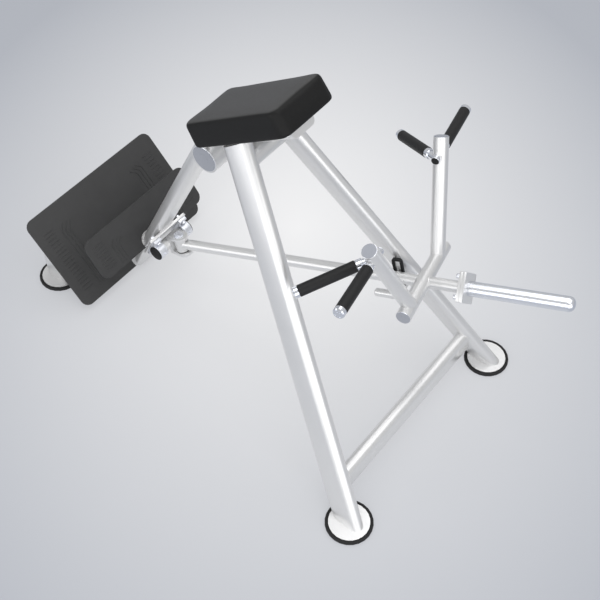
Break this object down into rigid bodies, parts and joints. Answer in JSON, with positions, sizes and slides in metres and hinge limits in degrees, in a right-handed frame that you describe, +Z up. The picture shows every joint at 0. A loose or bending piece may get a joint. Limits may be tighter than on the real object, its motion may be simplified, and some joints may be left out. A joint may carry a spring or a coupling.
{
  "type": "incline row machine",
  "caption": "Plate-loaded incline row machine: a sloping chest pad on an A-frame over a swinging lever with raised grips, a weight horn and two foot plates.",
  "frame": {"origin": "middle of the underside of the right front rubber foot, on the floor (right as seen by the person on the pad)", "axes": "+X runs along the machine from the foot plates to the weight horn, +Y to the user's left across the machine, +Z up"},
  "size_m": [1.8919, 1.2213, 1.2629],
  "materials": {
    "base_tube": "satin silver paint",
    "bearing_cap_left": "matt black",
    "bearing_cap_right": "matt black",
    "bearing_insert_left": "polished",
    "bearing_insert_right": "polished",
    "block_bolt_left_lower": "zinc plated",
    "block_bolt_left_upper": "zinc plated",
    "block_bolt_right_lower": "zinc plated",
    "block_bolt_right_upper": "zinc plated",
    "boom": "satin silver paint",
    "catch_bracket": "satin silver paint",
    "catch_pad": "matt black",
    "catch_rubber": "matt black",
    "chest_pad": "smooth padded upholstery",
    "clevis_bolt": "zinc plated",
    "clevis_nut": "zinc plated",
    "clevis_yoke": "satin silver paint",
    "column": "satin silver paint",
    "flange_bolt_bottom": "zinc plated",
    "flange_bolt_left": "zinc plated",
    "flange_bolt_right": "zinc plated",
    "flange_bolt_top": "zinc plated",
    "foot_front_left": "matt black",
    "foot_front_right": "matt black",
    "foot_plate_large": "ribbed anti-slip, matt",
    "foot_plate_small": "ribbed anti-slip, matt",
    "foot_rear_left": "matt black",
    "foot_rear_right": "matt black",
    "front_crossbar": "satin silver paint",
    "head_tube": "satin silver paint",
    "hub_bush_lower": "black nylon, matt",
    "hub_bush_upper": "black nylon, matt",
    "leg_left": "satin silver paint",
    "leg_right": "satin silver paint",
    "lever_end_plate": "satin silver paint",
    "lever_hub": "satin silver paint",
    "lever_tube": "satin silver paint",
    "mast_left": "satin silver paint",
    "mast_right": "satin silver paint",
    "pad_board": "plain plywood",
    "pad_plate": "satin silver paint",
    "pad_rail": "satin silver paint",
    "pillow_block_left": "zinc plated",
    "pillow_block_right": "zinc plated",
    "pivot_plate": "satin silver paint",
    "pivot_shaft": "polished",
    "rear_bar_left": "zinc plated",
    "rear_bar_right": "zinc plated",
    "rear_crossbar": "satin silver paint",
    "rear_grip_left": "matt black",
    "rear_grip_right": "matt black",
    "rear_post_left": "satin silver paint",
    "rear_post_right": "satin silver paint",
    "side_bar_left": "zinc plated",
    "side_bar_right": "zinc plated",
    "side_grip_left": "matt black",
    "side_grip_right": "matt black",
    "step_bracket": "satin silver paint",
    "upper_crossbar": "satin silver paint",
    "weight_horn": "polished"
  },
  "bodies": {
    "frame": {"base_tube": "base_tube", "bearing_cap_left": "bearing_cap_left", "bearing_cap_right": "bearing_cap_right", "bearing_insert_left": "bearing_insert_left", "bearing_insert_right": "bearing_insert_right", "block_bolt_left_lower": "block_bolt_left_lower", "block_bolt_left_upper": "block_bolt_left_upper", "block_bolt_right_lower": "block_bolt_right_lower", "block_bolt_right_upper": "block_bolt_right_upper", "catch_bracket": "catch_bracket", "catch_pad": "catch_pad", "catch_rubber": "catch_rubber", "chest_pad": "chest_pad", "column": "column", "foot_front_left": "foot_front_left", "foot_front_right": "foot_front_right", "foot_plate_large": "foot_plate_large", "foot_plate_small": "foot_plate_small", "foot_rear_left": "foot_rear_left", "foot_rear_right": "foot_rear_right", "front_crossbar": "front_crossbar", "head_tube": "head_tube", "leg_left": "leg_left", "leg_right": "leg_right", "pad_board": "pad_board", "pad_plate": "pad_plate", "pad_rail": "pad_rail", "pillow_block_left": "pillow_block_left", "pillow_block_right": "pillow_block_right", "pivot_plate": "pivot_plate", "rear_crossbar": "rear_crossbar", "rear_post_left": "rear_post_left", "rear_post_right": "rear_post_right", "step_bracket": "step_bracket", "upper_crossbar": "upper_crossbar"},
    "yoke": {"pivot_shaft": "pivot_shaft", "clevis_yoke": "clevis_yoke", "clevis_bolt": "clevis_bolt", "clevis_nut": "clevis_nut"},
    "lever": {"boom": "boom", "flange_bolt_bottom": "flange_bolt_bottom", "flange_bolt_left": "flange_bolt_left", "flange_bolt_right": "flange_bolt_right", "flange_bolt_top": "flange_bolt_top", "hub_bush_lower": "hub_bush_lower", "hub_bush_upper": "hub_bush_upper", "lever_end_plate": "lever_end_plate", "lever_hub": "lever_hub", "lever_tube": "lever_tube", "mast_left": "mast_left", "mast_right": "mast_right", "rear_bar_left": "rear_bar_left", "rear_bar_right": "rear_bar_right", "rear_grip_left": "rear_grip_left", "rear_grip_right": "rear_grip_right", "side_bar_left": "side_bar_left", "side_bar_right": "side_bar_right", "side_grip_left": "side_grip_left", "side_grip_right": "side_grip_right", "weight_horn": "weight_horn"}
  },
  "joints": [
    {"name": "lever_lift", "type": "hinge", "parent": "frame", "child": "yoke", "pos_m": [-1.142, 0.4225, 0.238], "axis": [0, -1, 0], "range_deg": [0, 10]},
    {"name": "lever_swing", "type": "hinge", "parent": "yoke", "child": "lever", "pos_m": [-1.09003, 0.4225, 0.25267], "axis": [-0.2716, 0, 0.9624], "range_deg": [-25, 0]}
  ]
}
